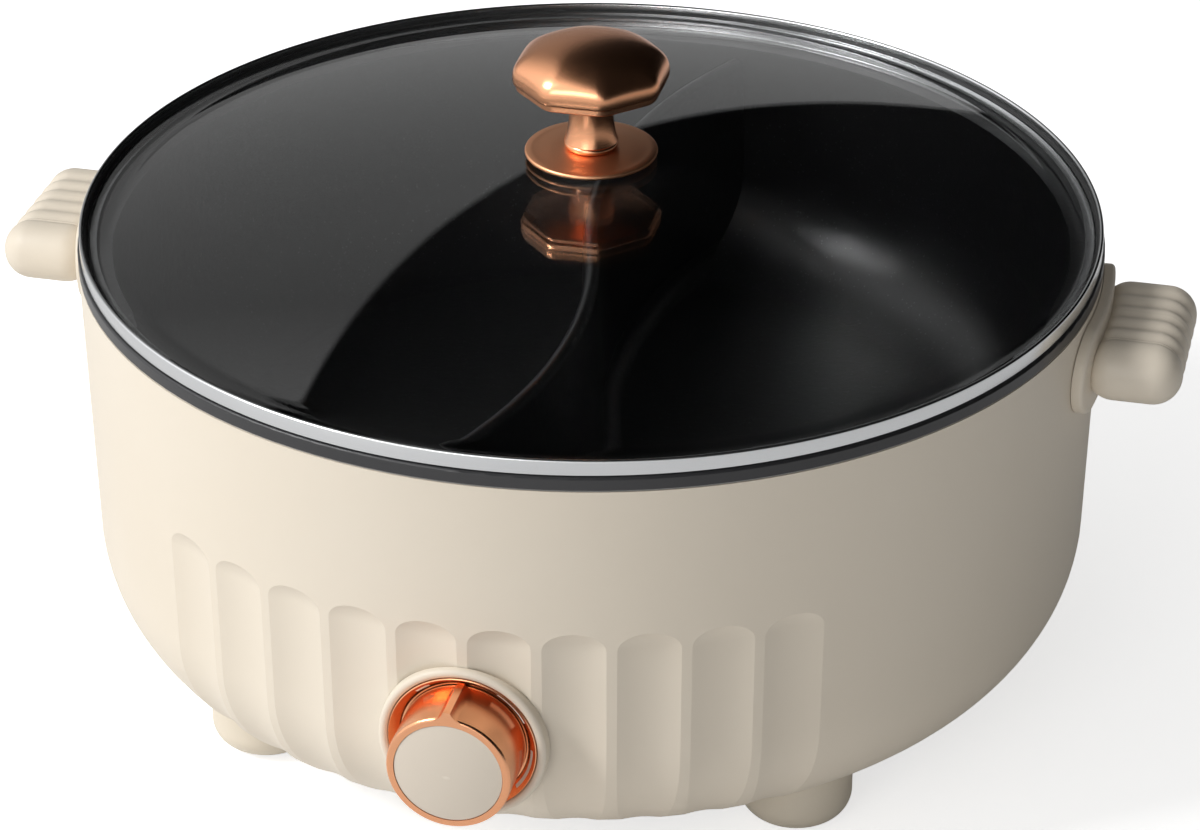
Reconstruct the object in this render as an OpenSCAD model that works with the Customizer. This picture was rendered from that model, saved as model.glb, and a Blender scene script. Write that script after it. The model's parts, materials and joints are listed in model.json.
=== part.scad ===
// Electric hot pot with a lift-off glass lid, a two-chamber pot and a rotary heat dial.
// Millimetres. The table is z = 0, the pot's axis is the Z axis, the dial faces -Y and
// the two grips point along +X and -X. Everything round that turns, seats or fastens is
// a true cylinder or a true revolve.

/* [Body] */
// Outer radius of the moulded shell at its top edge
body_r = 160; // [130:1:195]
// Height of the shell, from its underside to its top edge
body_h = 132.8; // [110:0.1:162]
// Wall thickness of the shell
shell_wall = 3; // [2:0.1:4]
// Draft of the shell's side wall, in degrees
draft = 1.1; // [0.5:0.1:2]
// Radius of the rounding under the shell
corner_r = 43; // [34:1:52]

/* [Flutes] */
// Number of shallow flutes on the front of the shell
flute_n = 10; // [4:2:14]
// Angle from one flute to the next
flute_pitch = 7.83; // [6.5:0.01:9.5]
// Width of a flute
flute_w = 20.4; // [14:0.1:21]
// Depth of a flute
flute_depth = 1.6; // [0.8:0.1:2]
// Height of the flutes' arched tops above the table
flute_top = 100; // [80:1:110]
// Rise of the arch at the top of a flute
flute_arch = 6; // [3:0.5:9]
// How far the flutes' lower ends run out of the rounding
flute_fade = 2.6; // [1:0.1:5]

/* [Feet] */
// Height of the shell's underside above the table
foot_h = 14; // [10:0.5:20]
// Radius of a foot
foot_r = 17.5; // [13:0.5:22]
// Radius of the rounding around a foot's bottom
foot_round = 8; // [4:0.5:10]
// Radius of a foot's rubber pad
pad_r = 9; // [6:0.5:9]
// How far a pad stands out of its foot
pad_proud = 0.8; // [0.4:0.1:1.5]

/* [Pot] */
// Height of the room under the pot for its heater and the wiring; the rest is pot
heater_room = 53.9; // [45:0.1:65]
// Wall thickness of the pot
pot_wall = 2.2; // [1.6:0.1:3]
// Thickness of the pot's floor
pot_floor = 4; // [3:0.1:6]
// Radius between the pot's wall and its floor
pot_corner = 32; // [20:1:36]
// Width of the ledge below the collar that the lid drops into
pot_ledge = 6; // [3:0.1:8]
// Radius of the two arcs of the S-shaped divider
divider_r = 193; // [150:1:240]
// Sideways swing of the divider's arcs
divider_swing = 8; // [4:0.5:14]
// Thickness of the divider along its top edge
divider_t = 4.6; // [3:0.1:7]
// Thickness that each face of the divider gains down to the pot's floor
divider_taper = 1.6; // [0.5:0.1:3]
// Radius of the fillet at the divider's foot
divider_foot = 7; // [3:0.5:10]
// Distance from the pot's flange down to the divider's top edge
divider_drop = 8; // [5:0.5:20]

/* [Rim] */
// Height of the dark lip ring's outer band
lip_h = 4; // [3:0.1:7]
// Wall thickness of the lip ring's outer band
lip_wall = 1.8; // [1.2:0.1:2.4]
// Thickness of the silicone gasket under the lip ring
gasket_t = 0.6; // [0.4:0.1:1.2]

/* [Lid] */
// Thickness of the lid's glass
glass_t = 3.5; // [3:0.1:5]
// Rise of the glass dome above its flat edge
dome_h = 20.5; // [14:0.5:28]
// Width of the glass lid's flat edge
glass_flat = 7; // [5:0.5:14]
// Radius of the bend between the flat edge and the dome
glass_bend = 14; // [6:1:30]
// Height of the steel band around the lid
band_h = 4.9; // [4:0.1:7]
// Wall thickness of the steel band
band_t = 1.3; // [0.9:0.1:1.6]
// How far the lid rim's lower leg reaches into the pot
leg_h = 4; // [2.5:0.1:6]
// How far the closed lid can be lifted straight up
lid_lift = 150; // [100:10:300]

/* [Knob] */
// Radius of the knob head, to its corners
knob_r = 25; // [18:0.5:32]
// Height of the knob head
knob_head_h = 15.2; // [12.5:0.1:20]
// Height of the whole knob above its base disc
knob_h = 35.6; // [28:0.1:44]
// Radius of the knob's stem at its waist
stem_r = 6.9; // [5:0.1:9]
// Radius of the base disc under the knob
disc_r = 20.7; // [16:0.1:26]
// Thickness of the base disc
disc_t = 2; // [1.4:0.1:3]

/* [Dial] */
// Height of the dial's axis above the table
dial_z = 60; // [50:1:66]
// Radius of the turning dial
dial_r = 18.6; // [15:0.1:22.4]
// How far the dial stands out of its bezel
dial_len = 17.9; // [13:0.1:24]
// Radius of the domed cap in the dial's front
cap_r = 16.1; // [11:0.1:16.2]
// Width of the bezel ring that shows round the dial
bezel_w = 3.9; // [2:0.1:6]
// Width of the plain ring round the bezel
escutcheon_w = 2.8; // [2:0.1:5]
// Radius of the dial's shaft
shaft_r = 3; // [2.5:0.1:4]
// Dial travel each way from the upright position, in degrees
dial_travel = 115; // [60:5:150]

/* [Handles] */
// How far a grip reaches out from the shell's top edge
grip_out = 28.5; // [20:0.5:40]
// Width of a grip
grip_w = 47; // [36:1:60]
// Thickness of a grip
grip_t = 19; // [14:0.5:26]
// How far a grip's top face lies below the shell's top edge
grip_drop = 7.3; // [2:0.1:20]
// Number of grooves over the top of a grip
grip_grooves = 5; // [3:2:7]
// Radius of the rounding along a grip's edges
grip_round = 8; // [4:0.5:9]
// Width of the flange behind a grip
flange_w = 73; // [60:1:90]
// Height of the flange behind a grip
flange_h = 37; // [30:0.5:46]
// Thickness of the flange behind a grip
flange_t = 3; // [2:0.1:5]

/* [Fits] */
// Clearance between pieces that seat on each other
seat = 0.3; // [0.2:0.05:0.5]
// Radial clearance of the dial's shaft in its bush
shaft_fit = 0.05; // [0.02:0.01:0.1]
// Clearance between a screw and the hole that it cuts its thread in
thread_fit = 0.05; // [0.02:0.01:0.1]

/* [Hidden] */

$fn = 96;
// segments of the flattest arcs, such as the glass dome
fine = 720;
eps = 0.01;

cream = [0.93, 0.89, 0.82];
rose_gold = [0.86, 0.58, 0.42];
steel = [0.78, 0.79, 0.8];
dark = [0.2, 0.2, 0.21];

// --- levels, from the table up
base_z = foot_h;
shell_top = base_z + body_h;
lip_z0 = shell_top + gasket_t;
lip_top = lip_z0 + lip_h;
lip_floor_t = 0.8;
flange_z0 = lip_z0 + lip_floor_t;
pot_flange_t = 1.7;
pot_top = flange_z0 + pot_flange_t;
pot_under = base_z + heater_room;
pot_z = pot_under + pot_floor;
divider_mid = 1;
divider_gap = 0.1;

// --- the shell's outline: a drafted wall and a round underside
function wall_r(z) = body_r - (shell_top - z) * tan(draft);
function inner_r(z) = z > corner_z ? wall_r(z) - shell_wall
    : corner_x + sqrt(pow(corner_r - shell_wall, 2) - pow(corner_z - z, 2));
corner_z = base_z + corner_r;
corner_x = wall_r(corner_z) - corner_r / cos(draft);
mouth_r = corner_x - 15;
ledge_r = mouth_r + 8;
cover_t = 2.2;
ledge_z = base_z + cover_t + seat;

// --- rings that nest at the rim, from the outside in
lip_inner = body_r - lip_wall;
pot_flange_r = lip_inner - 0.2;
band_r = body_r - 0.7;
band_inner = band_r - band_t;
step_r = lip_inner - seat;
leg_t = 0.7;
collar_r = body_r - 5.1;
leg_r = collar_r - 0.4;
pot_r = collar_r - pot_ledge;
lip_flange_in = collar_r + pot_wall - 0.3;

// --- lid levels
lid_sheet = 0.6;
band_z = lip_top + seat;
lid_z = pot_top + seat;
collar_z = lid_z - leg_h - 0.5;
glass_z = lid_z + lid_sheet;
glass_top = glass_z + glass_t;
glass_r = band_inner - 1;
dome_top = glass_top + dome_h;
dome_r = glass_r - glass_flat;
dome_R = (dome_r * dome_r + dome_h * dome_h) / (2 * dome_h);
dome_c = dome_top - dome_R;
bend_x = sqrt(pow(dome_R + glass_bend, 2) - pow(glass_top + glass_bend - dome_c, 2));
bend_z = glass_top + glass_bend;

// --- knob stack
gasket_rise = 0.6;
disc_z = dome_top + gasket_rise;
knob_z = disc_z + disc_t;
head_z = knob_z + knob_h - knob_head_h;
knob_bore = 2;

// --- dial stack, along -Y
dial_front = wall_r(dial_z);
escutcheon_r = dial_r + bezel_w + escutcheon_w;
bezel_r = dial_r + bezel_w;
cup_r = bezel_r + 1.2;
ring_y = dial_front + 2.9;
retainer_h = 24;
retainer_y = sqrt(pow(inner_r(dial_z - retainer_h / 2), 2) - pow(escutcheon_r, 2)) - 0.1;
retainer_t = 1.2;
cup_floor = 2.4;
bush_r = shaft_r + 1.75;
nut_t = 2.2;
switch_w = 22;
switch_h = 20;
switch_len = 18;
dial_y0 = ring_y - 2.9;
dial_y1 = dial_y0 + dial_len;
ridge_h = 2.1;
ridge_gap = 1.5;

// --- grips
grip_x = body_r + grip_out;
grip_z = shell_top - grip_drop;
flange_z = grip_z - grip_t / 2 - 0.2;
groove_r = 2.8;
groove_sink = 0.8;

// --- under the pot
plate_t = 7;
plate_r = 108;
plate_bore = 26;
coil_r = 84;
coil_tube = 3.5;
coil_gap = 34;
cast_gap = 0.2;
plate_z = pot_under - plate_t;
coil_z = pot_under - coil_tube - 0.6;
shield_z = plate_z - 12;
shield_t = 1;
shield_r = corner_x + 20;
stud_n = 4;
stud_ring = 101;
pillar_ring = corner_x + 13;
pillar_turn = 20;

// --- fastenings
screw_r = 1.9;
head_r = 3.8;
head_t = 2.4;
foot_ring = corner_x + 5;
handle_screw_y = 15;
handle_screw_z = flange_z;
base_screw_ring = mouth_r + 4;

// --- appliance inlet at the back
inlet_z = 44;
inlet_w = 28;
inlet_h = 20;
inlet_y = sqrt(pow(wall_r(inlet_z + inlet_h / 2), 2) - pow(inlet_w / 2 + 9, 2)) + 3;
inlet_len = 24;
inlet_depth = 16;

// --- plates behind the grips' screws
backing_w = 44;
backing_t = 1.2;
backing_x = sqrt(pow(wall_r(handle_screw_z - 10) - shell_wall, 2)
    - backing_w * backing_w / 4) - 0.1;

// --- feet and knob fastening
pad_h = 2.3;
foot_seat = 7;
glass_hole = 4.5;
washer_z = dome_top - glass_t - 1.2;
washer_t = 1.2;

// ===== shared shapes =====

// The shell's filled outline, drawn in by off
module shell_outline(off) {
    r = corner_r - off;
    touch = [corner_x + r * cos(draft), corner_z - r * sin(draft)];
    union() {
        polygon([
            [0, base_z + off], [corner_x, base_z + off], touch,
            [wall_r(shell_top) - off / cos(draft), shell_top], [0, shell_top]
        ]);
        translate([corner_x, corner_z]) circle(r = r);
    }
}

// Everything inside the shell's side wall grown by gap, between two heights
module wall_body(gap, z0, z1) {
    rotate_extrude()
        polygon([[0, z0], [wall_r(z0) + gap, z0], [wall_r(z1) + gap, z1], [0, z1]]);
}

// A rectangle with round corners, centred
module round_rect(w, h, r) {
    union() {
        square([w - 2 * r, h], center = true);
        square([w, h - 2 * r], center = true);
        for (x = [-1, 1], y = [-1, 1])
            translate([x * (w / 2 - r), y * (h / 2 - r)]) circle(r = r);
    }
}

// A ring of square section, from z0 up
module ring(r_in, r_out, z0, h) {
    translate([0, 0, z0]) difference() {
        cylinder(r = r_out, h = h);
        translate([0, 0, -1]) cylinder(r = r_in, h = h + 2);
    }
}

// A pan-head screw whose shank points along +Z from its seat at z = 0
module screw(len, r = screw_r, head = head_r, thick = head_t) {
    union() {
        translate([0, 0, -thick]) cylinder(r = head, h = thick);
        cylinder(r = r, h = len);
    }
}

// Stand things around the Z axis
module around(n, r, turn = 0) {
    for (i = [0 : n - 1])
        rotate([0, 0, turn + i * 360 / n]) translate([r, 0, 0]) children();
}

// ===== shell =====

// One flute cutter, standing in front of the shell at -Y, leaning with the draft and
// kept within its own share of the shell's circumference
module flute_cutter() {
    half_share = 2 * body_r * tan(0.49 * flute_pitch);
    intersection() {
        flute_sweep();
        linear_extrude(height = shell_top)
            polygon([[0, 0], [-half_share, -2 * body_r], [half_share, -2 * body_r]]);
    }
}

// A drafted cylinder with a rounded top edge, carried on round the shell's bottom
module flute_sweep() {
    r = flute_w * flute_w / (8 * flute_depth) + flute_depth / 2;
    axis = corner_r - flute_depth + r;
    top = flute_top - corner_z;
    // radius of the cutter's rounded top edge, which draws the arch
    edge = (flute_arch * flute_arch + flute_depth * flute_depth) / (2 * flute_depth);
    translate([0, -corner_x, corner_z]) rotate([draft, 0, 0]) {
        translate([0, -axis, 0]) rotate_extrude() union() {
            square([r, top - flute_arch]);
            square([r - edge, top - flute_arch + edge]);
            intersection() {
                translate([r - edge, top - flute_arch]) circle(r = edge);
                square([r, top - flute_arch + edge]);
            }
        }
        translate([0, flute_fade, 0]) rotate([-90, 0, 0]) rotate([0, 90, 0])
            rotate_extrude(angle = 80) translate([axis + flute_fade, 0]) circle(r = r);
    }
}

// Boss for a screw from below, standing on the shell's rounded underside
module shell_boss(r, z) {
    translate([0, 0, base_z + 1]) cylinder(r = r, h = z - base_z - 1);
}

module outer_shell() {
    color(cream) difference() {
        union() {
            rotate_extrude() difference() {
                union() {
                    difference() {
                        shell_outline(0);
                        shell_outline(shell_wall);
                        square([ledge_r + seat, 2 * corner_z]);
                    }
                    translate([mouth_r, ledge_z]) square([12, shell_wall]);
                }
                square([mouth_r, body_h]);
            }
            intersection() {
                union() {
                    around(4, foot_ring, 45) shell_boss(6, base_z + 20);
                    around(4, pillar_ring, pillar_turn) shell_boss(5, shield_z);
                    around(4, base_screw_ring) shell_boss(4, ledge_z + 12);
                }
                rotate_extrude() shell_outline(1);
            }
            dial_boss();
        }
        for (i = [0 : flute_n - 1])
            rotate([0, 0, (i - (flute_n - 1) / 2) * flute_pitch]) flute_cutter();
        // opening that the dial's cup passes through
        translate([0, 0, dial_z]) rotate([90, 0, 0])
            cylinder(r = cup_r + seat, h = 2 * body_r);
        // opening for the appliance inlet
        translate([0, body_r / 2, 0]) rotate([-90, 0, 0])
            linear_extrude(height = body_r) inlet_outline(seat);
        around(4, foot_ring, 45) translate([0, 0, base_z - 1])
            cylinder(r = screw_r + thread_fit, h = 19);
        around(4, pillar_ring, pillar_turn) translate([0, 0, shield_z - 12])
            cylinder(r = screw_r + thread_fit, h = 13);
        around(4, base_screw_ring) translate([0, 0, ledge_z - 1])
            cylinder(r = screw_r + thread_fit, h = 11);
        around(4, base_screw_ring) translate([0, 0, base_z - 1])
            cylinder(r = 6, h = ledge_z - base_z + 1);
        for (side = [0, 180], y = [-1, 1])
            rotate([0, 0, side]) translate([body_r / 2, y * handle_screw_y, handle_screw_z])
                rotate([0, 90, 0]) cylinder(r = screw_r + 0.3, h = body_r);
        inlet_screw_places() translate([0, 0, -15])
            cylinder(r = 1.4 + thread_fit, h = 30);
    }
}

// Flat land inside the shell that the dial's retainer plate bears on
module dial_boss() {
    intersection() {
        translate([0, 0, dial_z]) rotate([90, 0, 0])
            ring(cup_r + seat + 0.5, cup_r + 4, retainer_y + seat, 6);
        rotate_extrude() shell_outline(1);
    }
}

// ===== rim =====

module rim_gasket() {
    color("gray")
        ring(body_r - shell_wall + 0.2, body_r - 0.5, shell_top, gasket_t);
}

module lip_ring() {
    edge = 0.7;
    color(dark) rotate_extrude() union() {
        translate([lip_inner, lip_z0]) square([lip_wall, lip_top - lip_z0 - edge]);
        translate([lip_inner, lip_z0]) square([lip_wall - edge, lip_top - lip_z0]);
        translate([body_r - edge, lip_top - edge]) circle(r = edge);
        translate([lip_flange_in, lip_z0])
            square([lip_inner - lip_flange_in + eps, lip_floor_t]);
    }
}

// ===== cooking pot =====

// The pot's hollow, grown outwards by off
module pot_hollow(off) {
    r = pot_corner + off;
    union() {
        translate([0, pot_z - off]) square([pot_r - pot_corner, pot_corner]);
        translate([0, pot_z + pot_corner])
            square([pot_r + off, collar_z - off - pot_z - pot_corner + eps]);
        intersection() {
            translate([pot_r - pot_corner, pot_z + pot_corner]) circle(r = r);
            translate([0, pot_z - off]) square([pot_r + off, r + eps]);
        }
        translate([0, collar_z - off]) square([collar_r + off, pot_top - collar_z + off + 1]);
    }
}

module inner_pot() {
    color(dark) rotate_extrude() difference() {
        union() {
            intersection() {
                pot_hollow(pot_wall);
                translate([0, pot_under - 1]) square([body_r, pot_top - pot_under + 1]);
            }
            translate([0, pot_under]) square([pot_r - pot_corner, pot_floor]);
            translate([collar_r, flange_z0])
                square([pot_flange_r - collar_r, pot_flange_t]);
        }
        pot_hollow(0);
        // the collar's outside is turned down so that it passes through the lip ring
        translate([lip_flange_in - 0.2, pot_under - 1])
            square([20, flange_z0 - pot_under + 1]);
    }
}

// Section of the divider, standing on the pot's floor: a thin round-topped wall with
// faces that lean out and hollow fillets at the foot
module divider_section(grow = 0) {
    top = pot_top - divider_drop - pot_z;
    half = divider_t / 2 + grow;
    foot = half + divider_taper;
    difference() {
        union() {
            polygon([
                [-foot, 0], [foot, 0], [half, top - half], [-half, top - half]
            ]);
            translate([0, top - half]) circle(r = half);
            translate([-foot - divider_foot, 0])
                square([2 * (foot + divider_foot), divider_foot]);
        }
        for (side = [-1, 1])
            translate([side * (foot + divider_foot), divider_foot]) circle(r = divider_foot);
    }
}

// One arc of the divider, from its middle out to the pot's wall
module divider_arc() {
    half_chord = sqrt(divider_r * divider_r - pow(divider_r - divider_swing, 2));
    lean = asin(half_chord / divider_r);
    sweep = lean + asin(min(0.99, (pot_r + 4 - half_chord) / divider_r));
    rotate([0, 0, lean]) translate([0, divider_mid / 4, 0]) rotate([0, 0, -lean])
        translate([divider_r - divider_swing, half_chord, 0]) rotate([0, 0, 180 + lean - sweep])
            rotate_extrude(angle = sweep) translate([divider_r, 0]) divider_section();
}

// The narrow band where the two arcs run into each other
module divider_middle() {
    lean = acos((divider_r - divider_swing) / divider_r);
    rotate([90, 0, lean]) translate([0, 0, -divider_mid / 2])
        linear_extrude(height = divider_mid) divider_section(0.02);
}

module pot_divider() {
    color(dark) union() {
        for (turn = [0, 180]) rotate([0, 0, turn]) intersection() {
            translate([0, 0, pot_z]) divider_arc();
            rotate_extrude() pot_hollow(-divider_gap);
        }
        translate([0, 0, pot_z + divider_gap]) divider_middle();
    }
}

// ===== heating =====

module heat_plate() {
    color("silver") difference() {
        ring(plate_bore, plate_r, plate_z, plate_t);
        translate([0, 0, coil_z]) rotate_extrude() translate([coil_r, 0])
            circle(r = coil_tube + cast_gap);
        ring(coil_r - coil_tube - cast_gap, coil_r + coil_tube + cast_gap, coil_z, plate_t);
        around(stud_n, stud_ring, 45) translate([0, 0, plate_z - 1])
            cylinder(r = 2 + thread_fit, h = 6);
        coil_ends() translate([0, 0, plate_z - 1]) cylinder(r = 4.6, h = plate_t + 2);
    }
}

// The two ends of the heating element's ring, at the back of the pot
module coil_ends() {
    for (side = [-1, 1])
        rotate([0, 0, 90 + side * coil_gap / 2]) translate([coil_r, 0, 0]) children();
}

module heating_element() {
    color("dimgray") union() {
        translate([0, 0, coil_z]) rotate([0, 0, 90 + coil_gap / 2])
            rotate_extrude(angle = 360 - coil_gap) translate([coil_r, 0])
                circle(r = coil_tube);
        coil_ends() translate([0, 0, shield_z - 12])
            cylinder(r = 1.6, h = coil_z - shield_z + 12);
        coil_ends() translate([0, 0, plate_z - 3])
            cylinder(r = coil_tube + 0.4, h = pot_under - seat - plate_z + 3);
    }
}

module element_bushings() {
    color("white") coil_ends()
        ring(1.6 + 0.1, 3.2, shield_z - 3, plate_z - shield_z);
}

// Pressed steel dish under the heating plate
module heat_shield() {
    rise = 4;
    color("silver") difference() {
        rotate_extrude() polygon([
            [16, shield_z - rise], [92, shield_z - rise], [97, shield_z],
            [shield_r, shield_z], [shield_r, shield_z + shield_t],
            [96, shield_z + shield_t], [91, shield_z + shield_t - rise],
            [16, shield_z + shield_t - rise]
        ]);
        around(stud_n, stud_ring, 45) translate([0, 0, shield_z - 1])
            cylinder(r = 2.3, h = 4);
        around(4, pillar_ring, pillar_turn) translate([0, 0, shield_z - 1])
            cylinder(r = screw_r + 0.3, h = 4);
        coil_ends() translate([0, 0, shield_z - rise - 1]) cylinder(r = 3.5, h = 6);
    }
}

// Threaded studs that hang the shield under the heating plate
module shield_studs() {
    color(steel) around(stud_n, stud_ring, 45) translate([0, 0, shield_z - 5])
        cylinder(r = 2, h = plate_z + 5 - shield_z + 5);
}

module shield_nuts() {
    color(steel) around(stud_n, stud_ring, 45) {
        hex_nut(3.9, 2 + thread_fit, shield_z - 3.2, 3.2);
        hex_nut(3.9, 2 + thread_fit, shield_z + shield_t, 3.2);
    }
}

// A hexagonal nut on the Z axis
module hex_nut(r, bore, z0, h) {
    translate([0, 0, z0]) difference() {
        cylinder(r = r, h = h, $fn = 6);
        translate([0, 0, -1]) cylinder(r = bore, h = h + 2);
    }
}

// Screws through the shield's flange into the shell's four pillars
module shield_screws() {
    color(steel) around(4, pillar_ring, pillar_turn)
        translate([0, 0, shield_z + shield_t]) mirror([0, 0, 1]) screw(11);
}

// Thermostat can that is pressed against the middle of the pot
module pot_sensor() {
    color(steel) union() {
        translate([0, 0, pot_under - 12]) cylinder(r = 12, h = 9);
        translate([0, 0, pot_under - 3]) cylinder(r = 9, h = 3);
        for (x = [-1, 1])
            translate([x * 7 - 3.15, -0.4, pot_under - 17]) cube([6.3, 0.8, 6]);
    }
}

// Bridge that carries the thermostat on the heating plate
module sensor_bracket() {
    low = pot_under - 12;
    color(steel) difference() {
        union() {
            translate([-38, -8, plate_z - 1]) cube([10, 16, 1]);
            translate([28, -8, plate_z - 1]) cube([10, 16, 1]);
            translate([-29, -8, low - 1]) cube([58, 16, 1]);
            for (x = [-29, 28])
                translate([x, -8, low - 1]) cube([1, 16, plate_z - low + 1]);
        }
        for (x = [-1, 1])
            translate([x * 7, 0, low - 2]) cylinder(r = 5, h = 4);
    }
}

// Thermal fuse in its sleeve, lying against the heating plate
module thermal_fuse() {
    color("white") translate([-12, -56, plate_z - 3]) rotate([0, 90, 0]) union() {
        cylinder(r = 3, h = 24);
        translate([0, 0, -5]) cylinder(r = 0.6, h = 34);
    }
}

// ===== dial and its seat =====

// Turn a shape whose Z axis is the dial's axis to face -Y
module dial_frame() {
    translate([0, 0, dial_z]) rotate([90, 0, 0]) children();
}

// Ring of the shell's colour with a cup behind it
module dial_escutcheon() {
    edge = escutcheon_w / 2;
    color(cream) difference() {
        dial_frame() rotate_extrude() difference() {
            union() {
                translate([bezel_r, retainer_y]) square([cup_r - bezel_r, ring_y - edge - retainer_y]);
                translate([bezel_r, ring_y - 7]) square([escutcheon_w, 7 - edge]);
                translate([bezel_r + edge, ring_y - edge]) circle(r = edge);
                translate([bush_r + 0.2, retainer_y])
                    square([cup_r - bush_r - 0.2, cup_floor]);
            }
            translate([cup_r, 0]) square([10, ring_y - 7 + eps]);
        }
        difference() {
            wall_body(0.2, dial_z - 2 * dial_r, dial_z + 2 * dial_r);
            dial_frame() cylinder(r = cup_r, h = body_r);
        }
    }
}

// Dished metal ring that lines the cup and runs in close behind the dial
module dial_bezel() {
    r = bezel_r - 0.15;
    z = retainer_y + cup_floor + 0.1;
    hole_r = bush_r + 5.5;
    color(rose_gold) dial_frame() rotate_extrude() polygon([
        [hole_r, z], [r, z], [r, ring_y - 0.6], [r - 0.3, ring_y - 0.4],
        [dial_r + 0.6, dial_y0 - 0.5], [hole_r, dial_y0 - 0.7]
    ]);
}

// Flat plate that clamps the cup to the shell from inside
module dial_retainer() {
    color(steel) dial_frame() translate([0, 0, retainer_y - retainer_t]) difference() {
        linear_extrude(height = retainer_t) round_rect(2 * escutcheon_r, retainer_h, 4);
        translate([0, 0, -1]) cylinder(r = bush_r + 0.1, h = retainer_t + 2);
    }
}

module switch_body() {
    z = retainer_y - retainer_t;
    color("white") dial_frame() difference() {
        union() {
            translate([0, 0, z - switch_len]) linear_extrude(height = switch_len)
                round_rect(switch_w, switch_h, 2);
            translate([0, 0, z - 1]) cylinder(r = bush_r, h = cup_floor + retainer_t + nut_t + 2);
            for (x = [-1, 0, 1])
                translate([x * 7 - 0.4, -6, z - switch_len - 7]) cube([0.8, 6.3, 8]);
        }
        translate([0, 0, z - switch_len + 3]) cylinder(r = shaft_r + shaft_fit, h = 60);
    }
}

module switch_nut() {
    color(steel) dial_frame()
        hex_nut(bush_r + 2.4, bush_r + thread_fit, retainer_y + cup_floor, nut_t);
}

// Shaft with a flat at the end that carries the dial
module dial_shaft() {
    z0 = retainer_y - retainer_t - switch_len + 4;
    z1 = dial_y1 - 4.6;
    color(steel) dial_frame() difference() {
        translate([0, 0, z0]) cylinder(r = shaft_r, h = z1 - z0);
        translate([shaft_r / 2, -shaft_r, dial_y0 + 2]) cube([shaft_r, 2 * shaft_r, 30]);
    }
}

// The turning dial: a skirt with a pointer ridge, hollow behind, recessed in front
module dial_knob() {
    edge = 1;
    skirt = 2;
    web = 3.6;
    cap_well = 2.6;
    color(rose_gold) dial_frame() difference() {
        union() {
            rotate_extrude() difference() {
                union() {
                    translate([0, dial_y0]) square([dial_r, dial_len - edge]);
                    translate([0, dial_y0]) square([dial_r - edge, dial_len]);
                    translate([dial_r - edge, dial_y1 - edge]) circle(r = edge);
                }
                translate([shaft_r + 2.8, dial_y0 - 1])
                    square([dial_r - skirt - shaft_r - 2.8, dial_len - cap_well - web + 1]);
                translate([0, dial_y1 - cap_well]) square([cap_r + 0.15, cap_well + 1]);
                translate([0, dial_y0 - 1]) square([shaft_r + 3, 3]);
            }
            // pointer ridge along the top of the skirt, with hollow flanks
            translate([0, 0, dial_y0 + ridge_gap])
                linear_extrude(height = dial_len - ridge_gap) difference() {
                    translate([-4, dial_r - 1.5]) square([8, 1.5 + ridge_h]);
                    for (side = [-1, 1])
                        translate([side * 5.1, dial_r + ridge_h + 1.2]) circle(r = 4.2);
                }
        }
        // bore for the shaft, with its flat
        difference() {
            translate([0, 0, dial_y0 - 1])
                cylinder(r = shaft_r + thread_fit, h = dial_len - 3.4);
            translate([shaft_r / 2 + thread_fit, -2 * shaft_r, dial_y0 + 2])
                cube([shaft_r, 4 * shaft_r, dial_len]);
        }
    }
}

// Domed cap pressed into the dial's front
module dial_cap() {
    well = 2.6;
    dome = 1.8;
    big = (cap_r * cap_r + dome * dome) / (2 * dome);
    color(cream) dial_frame() rotate_extrude() intersection() {
        translate([0, dial_y1 - well]) square([cap_r, well + 4]);
        translate([0, dial_y1 + dome - 0.2 - big]) circle(r = big, $fn = fine);
    }
}

// Spring clip that grips the shaft behind the dial's web
module dial_clip() {
    color(steel) dial_frame() ring(shaft_r + 2.85, shaft_r + 3.6, dial_y0 + 4, 5);
}

// ===== appliance inlet =====

// Front outline of the inlet, with the two cut lower corners of its kind
module inlet_outline(off) {
    w = inlet_w / 2 + off;
    h = inlet_h / 2 + off;
    cut = 5;
    // drawn for a frame whose +Y points down
    polygon([
        [-w, -h - inlet_z], [w, -h - inlet_z], [w, h - cut - inlet_z],
        [w - cut, h - inlet_z], [-w + cut, h - inlet_z], [-w, h - cut - inlet_z]
    ]);
}

module inlet_screw_places() {
    for (x = [-1, 1])
        translate([x * (inlet_w / 2 + 5.5), inlet_y, inlet_z]) rotate([90, 0, 0]) children();
}

module inlet_body() {
    color(dark) difference() {
        rotate([-90, 0, 0]) difference() {
            union() {
                translate([0, 0, inlet_y - inlet_len]) linear_extrude(height = inlet_len)
                    inlet_outline(0);
                translate([0, -inlet_z, inlet_y - 4.5]) linear_extrude(height = 6.5)
                    round_rect(inlet_w + 20, inlet_h + 8, 4);
            }
            translate([0, 0, inlet_y + 2 - inlet_depth]) linear_extrude(height = inlet_depth + 1)
                inlet_outline(-2.2);
            for (x = [-1, 0, 1])
                translate([7 * x, -inlet_z + (x == 0 ? -2 : 2), inlet_y - 60])
                    linear_extrude(height = 60)
                        square([2 + 0.1, 4 + 0.1], center = true);
        }
        difference() {
            wall_body(0.2, inlet_z - inlet_h, inlet_z + inlet_h);
            rotate([-90, 0, 0]) linear_extrude(height = 2 * body_r) inlet_outline(0);
        }
        inlet_screw_places() translate([0, 0, -4]) cylinder(r = 1.6, h = 30);
    }
}

module inlet_pins() {
    color(steel) rotate([-90, 0, 0]) for (x = [-1, 0, 1])
        translate([7 * x, -inlet_z + (x == 0 ? -2 : 2), inlet_y - inlet_len - 8])
            linear_extrude(height = inlet_len + 5) square([2, 4], center = true);
}

module inlet_screws() {
    color(steel) inlet_screw_places() translate([0, 0, -2])
        screw(11, 1.4, 2.8, 1.8);
}

// ===== grips =====

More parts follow.
